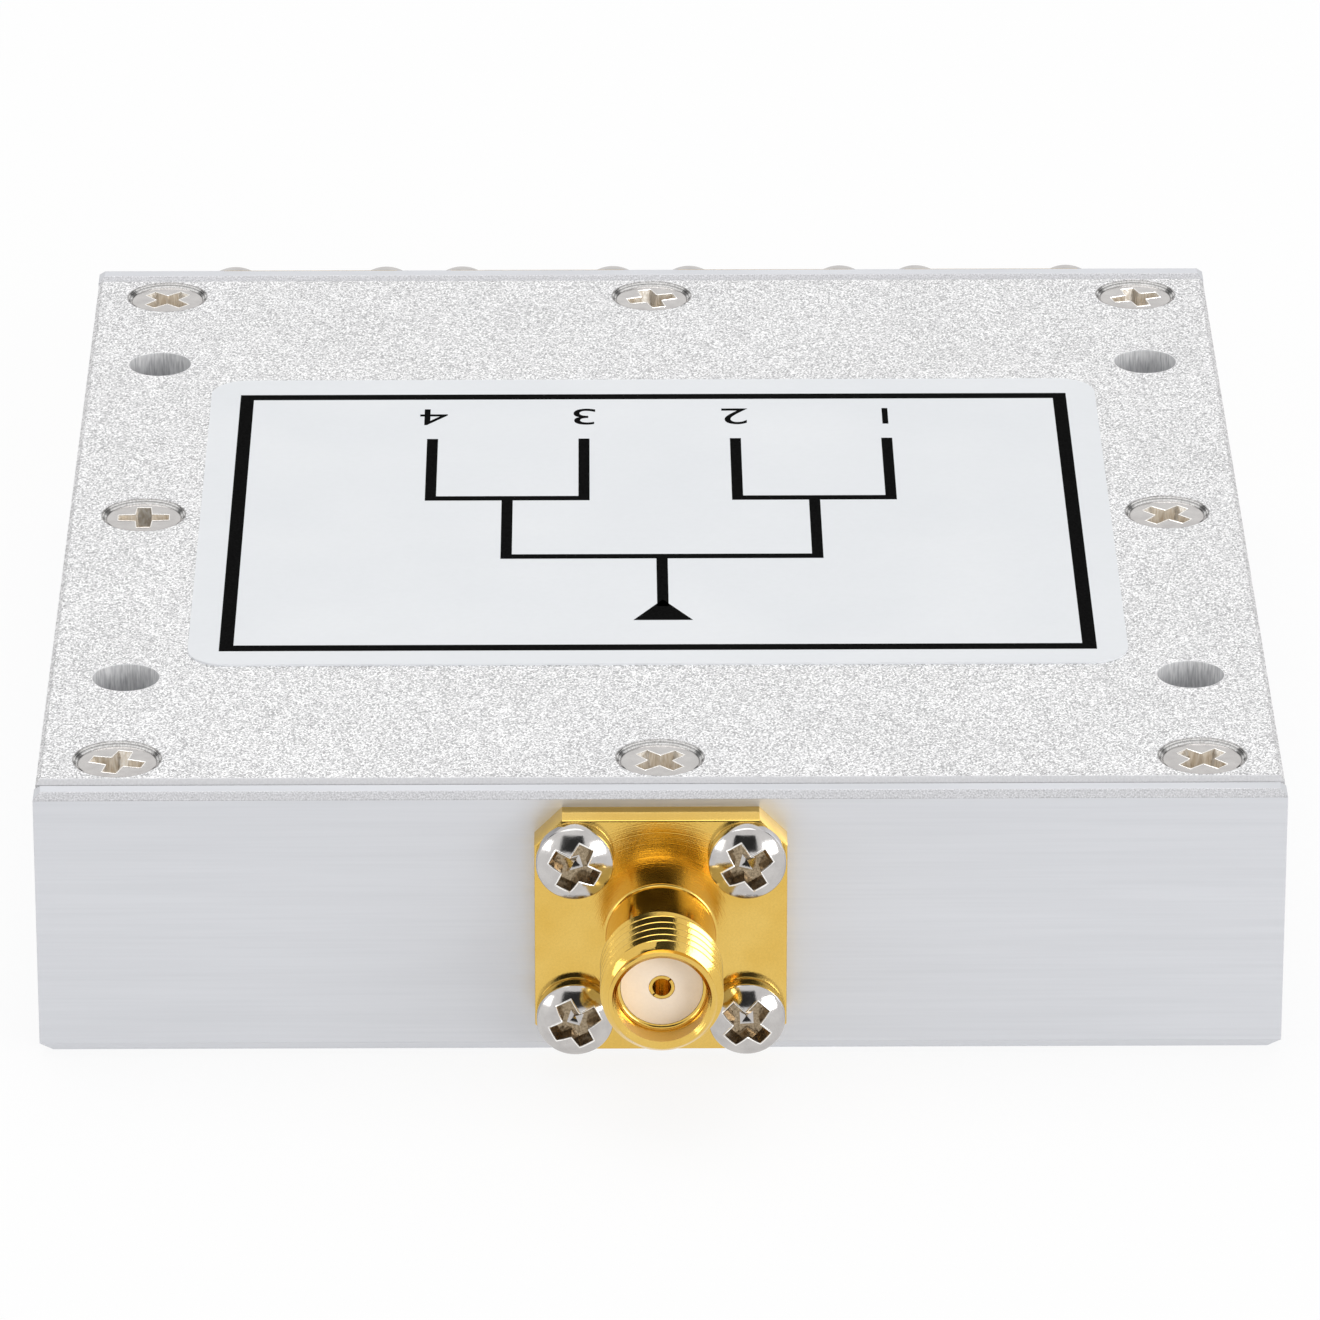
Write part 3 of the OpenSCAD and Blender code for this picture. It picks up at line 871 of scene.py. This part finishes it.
def black_ink():
    finish, tree, shader = new_finish("black_ink", 0.0, 0.4)
    shader.inputs["Specular IOR Level"].default_value = 0.0
    specks = grain(tree, 0.12, 2)
    tree.links.new(
        tint(tree, specks, (0.004, 0.004, 0.004), (0.009, 0.009, 0.009)),
        shader.inputs["Base Color"],
    )
    tree.links.new(spread(tree, specks, 0.32, 0.5), shader.inputs["Roughness"])
    return finish


def print_bar(bm, x0, y0, x1, y1):
    """Printed rectangle between two corners in millimetres."""
    place = Matrix.Translation(((x0 + x1) / 2, (y0 + y1) / 2, 0))
    bmesh.ops.create_grid(
        bm, x_segments=1, y_segments=1, size=0.5,
        matrix=place @ Matrix.Diagonal((x1 - x0, y1 - y0, 1, 1)),
    )


def print_number(bm, words, size, x, y):
    """Printed number with its middle at a spot in millimetres, read from the output side."""
    curve = bpy.data.curves.new("number", "FONT")
    curve.body = words
    curve.size = size
    curve.resolution_u = 6
    curve.align_x = "CENTER"
    curve.align_y = "CENTER"
    holder = bpy.data.objects.new("number", curve)
    bpy.context.scene.collection.objects.link(holder)
    bpy.context.view_layer.update()
    shown = holder.evaluated_get(bpy.context.evaluated_depsgraph_get())
    mesh = bpy.data.meshes.new_from_object(shown)
    bpy.data.objects.remove(holder)
    before = set(bm.verts)
    bm.from_mesh(mesh)
    place = Matrix.Translation((x, y, 0)) @ Matrix.Rotation(pi, 4, "Z")
    bmesh.ops.transform(bm, matrix=place, verts=[v for v in bm.verts if v not in before])


frame_x = 22.78
frame_front = -18.51
frame_back = 16.73
frame_line = 0.74
number_y = 13.6
number_size = 3.3
number_pitch = 8.27
number_shift = 0.3
line_w = 0.6
arrow_y = -14.6
arrow_r = 0.9
first_fork_y = -6.4
second_fork_y = 1.6

ink = bmesh.new()
print_bar(ink, -frame_x, frame_front, frame_x, frame_front + frame_line)
print_bar(ink, -frame_x, frame_back - frame_line, frame_x, frame_back)
for side in (-1, 1):
    edge = side * (frame_x - frame_line / 2)
    print_bar(
        ink, edge - frame_line / 2, frame_front + frame_line,
        edge + frame_line / 2, frame_back - frame_line,
    )
for number in range(1, 5):
    number_x = number_shift + (2.5 - number) * number_pitch
    print_number(ink, str(number), number_size, number_x, number_y)
trunk = (0, arrow_y + 2 * arrow_r, first_fork_y)
branches = [trunk]
for fork_y, end_y, reach, stems in (
    (first_fork_y, second_fork_y, number_pitch, [0]),
    (second_fork_y, number_y - number_size, number_pitch / 2, [-number_pitch, number_pitch]),
):
    for stem in stems:
        print_bar(
            ink, stem - reach - line_w / 2 + number_shift, fork_y,
            stem + reach + line_w / 2 + number_shift, fork_y + line_w,
        )
        branches += [(stem - reach, fork_y + line_w, end_y), (stem + reach, fork_y + line_w, end_y)]
for x, y0, y1 in branches:
    print_bar(ink, x - line_w / 2 + number_shift, y0, x + line_w / 2 + number_shift, y1)
bmesh.ops.create_circle(
    ink, cap_ends=True, segments=3, radius=2 * arrow_r,
    matrix=Matrix.Translation((number_shift, arrow_y + arrow_r, 0)),
)
bmesh.ops.dissolve_limit(ink, angle_limit=radians(1), verts=ink.verts, edges=ink.edges)
raised = bmesh.ops.extrude_face_region(ink, geom=ink.faces[:])["geom"]
bmesh.ops.translate(
    ink, vec=(0, 0, 1), verts=[g for g in raised if isinstance(g, bmesh.types.BMVert)]
)
bmesh.ops.recalc_face_normals(ink, faces=ink.faces)
bmesh.ops.transform(
    ink, verts=ink.verts,
    matrix=Matrix.Translation((0, 0, label_hi.z)) @ Matrix.Diagonal((MM, MM, INK, 1)),
)
dress("label", label_film())
printing = make_piece("label_print", ink, black_ink())


# Stage: a plain white floor under a white tent, lit softly from above and from both sides. The tent
# is open where the camera looks in, and polished metal shows that opening as a dark patch.
scene = bpy.context.scene
scene.view_settings.view_transform = "Standard"

camera_pitch = 23.723
camera_yaw = 0.4316
camera_place = Vector((-3.29, -468.666, 211.862)) * MM
focal_share = 9477.6 / 1320
floor_half = 3
floor_gap = 0.02
floor_glow = 0.86

camera = bpy.data.objects.new("camera", bpy.data.cameras.new("camera"))
camera.data.sensor_width = 36
camera.data.lens = camera.data.sensor_width * focal_share
camera.data.clip_start = 0.01
camera.location = camera_place
camera.rotation_euler = (radians(90 - camera_pitch), 0, radians(-camera_yaw))
scene.collection.objects.link(camera)
scene.camera = camera


def seen_share(tree):
    """1 for rays from the camera, from gloss and from glass, and 0 for the rest."""
    path = tree.nodes.new("ShaderNodeLightPath")
    seen = path.outputs["Is Camera Ray"]
    for name in ("Is Glossy Ray", "Is Transmission Ray"):
        seen = reckon(tree, "MAXIMUM", seen, path.outputs[name])
    return path, seen


def white_floor():
    finish = bpy.data.materials.new("white_floor")
    finish.use_nodes = True
    tree = finish.node_tree
    tree.nodes.clear()
    matt = tree.nodes.new("ShaderNodeBsdfDiffuse")
    matt.inputs["Color"].default_value = (0.9, 0.9, 0.9, 1)
    glow = tree.nodes.new("ShaderNodeEmission")
    _, seen = seen_share(tree)
    mix = tree.nodes.new("ShaderNodeMixShader")
    tree.links.new(reckon(tree, "MULTIPLY", seen, floor_glow), mix.inputs["Fac"])
    tree.links.new(matt.outputs["BSDF"], mix.inputs[1])
    tree.links.new(glow.outputs["Emission"], mix.inputs[2])
    output = tree.nodes.new("ShaderNodeOutputMaterial")
    tree.links.new(mix.outputs["Shader"], output.inputs["Surface"])
    return finish


floor_mesh = bmesh.new()
bmesh.ops.create_grid(
    floor_mesh, x_segments=1, y_segments=1, size=floor_half,
    matrix=Matrix.Translation((0, 0, -floor_gap * MM)),
)
floor_data = bpy.data.meshes.new("floor")
floor_mesh.to_mesh(floor_data)
floor_mesh.free()
floor_data.materials.append(white_floor())
floor = bpy.data.objects.new("floor", floor_data)
scene.collection.objects.link(floor)

front_opening = {"azimuth": (-4, 25), "elevation": (26, 16)}
side_openings = {"side": (135, 12), "elevation": (24, 11)}
opening_light = 0.04
opening_edge = 1.5
tent_light = 0.72


def white_tent():
    world = bpy.data.worlds.new("white_tent")
    world.use_nodes = True
    tree = world.node_tree
    background = tree.nodes["Background"]
    background.inputs["Color"].default_value = (1, 1, 1, 1)
    place = tree.nodes.new("ShaderNodeTexCoord")
    parts = tree.nodes.new("ShaderNodeSeparateXYZ")
    tree.links.new(place.outputs["Generated"], parts.inputs["Vector"])
    toward = reckon(tree, "MULTIPLY", parts.outputs["Y"], -1)
    turn = reckon(tree, "ARCTAN2", parts.outputs["X"], toward)
    angles = {
        "azimuth": turn,
        "side": reckon(tree, "ABSOLUTE", turn),
        "elevation": reckon(tree, "ARCSINE", parts.outputs["Z"]),
    }
    dark = 0.0
    for opening in (front_opening, side_openings):
        patch = 1.0
        for name, (middle, half) in opening.items():
            within = near(tree, angles[name], radians(middle), radians(half), radians(opening_edge))
            patch = reckon(tree, "MULTIPLY", within, patch)
        dark = reckon(tree, "MAXIMUM", patch, dark)
    path, seen = seen_share(tree)
    gloss_dark = reckon(tree, "MULTIPLY", dark, path.outputs["Is Glossy Ray"])
    level = tree.nodes.new("ShaderNodeMapRange")
    level.inputs["To Min"].default_value = tent_light
    level.inputs["To Max"].default_value = 1.0
    tree.links.new(seen, level.inputs["Value"])
    strength = tree.nodes.new("ShaderNodeMapRange")
    strength.inputs["To Max"].default_value = opening_light
    tree.links.new(gloss_dark, strength.inputs["Value"])
    tree.links.new(level.outputs["Result"], strength.inputs["To Min"])
    tree.links.new(strength.outputs["Result"], background.inputs["Strength"])
    return world


scene.world = white_tent()


def softbox(name, azimuth, elevation, distance, width, height, radiance):
    """Rectangular lamp that faces the object from a direction in degrees."""
    a, e = radians(azimuth), radians(elevation)
    away = Vector((sin(a) * cos(e), -cos(a) * cos(e), sin(e)))
    lamp = bpy.data.lights.new(name, "AREA")
    lamp.shape = "RECTANGLE"
    lamp.size = width
    lamp.size_y = height
    lamp.energy = radiance * pi * width * height
    holder = bpy.data.objects.new(name, lamp)
    holder.location = away * distance
    holder.rotation_euler = away.to_track_quat("Z", "Y").to_euler()
    scene.collection.objects.link(holder)


lamp_distance = 0.9
softbox("top_softbox", 200, 74, lamp_distance, width=0.7, height=0.7, radiance=1.5)
softbox("right_softbox", 46, 12, lamp_distance, width=0.4, height=0.36, radiance=7.0)
softbox("left_softbox", -58, 16, lamp_distance, width=0.34, height=0.3, radiance=2.6)
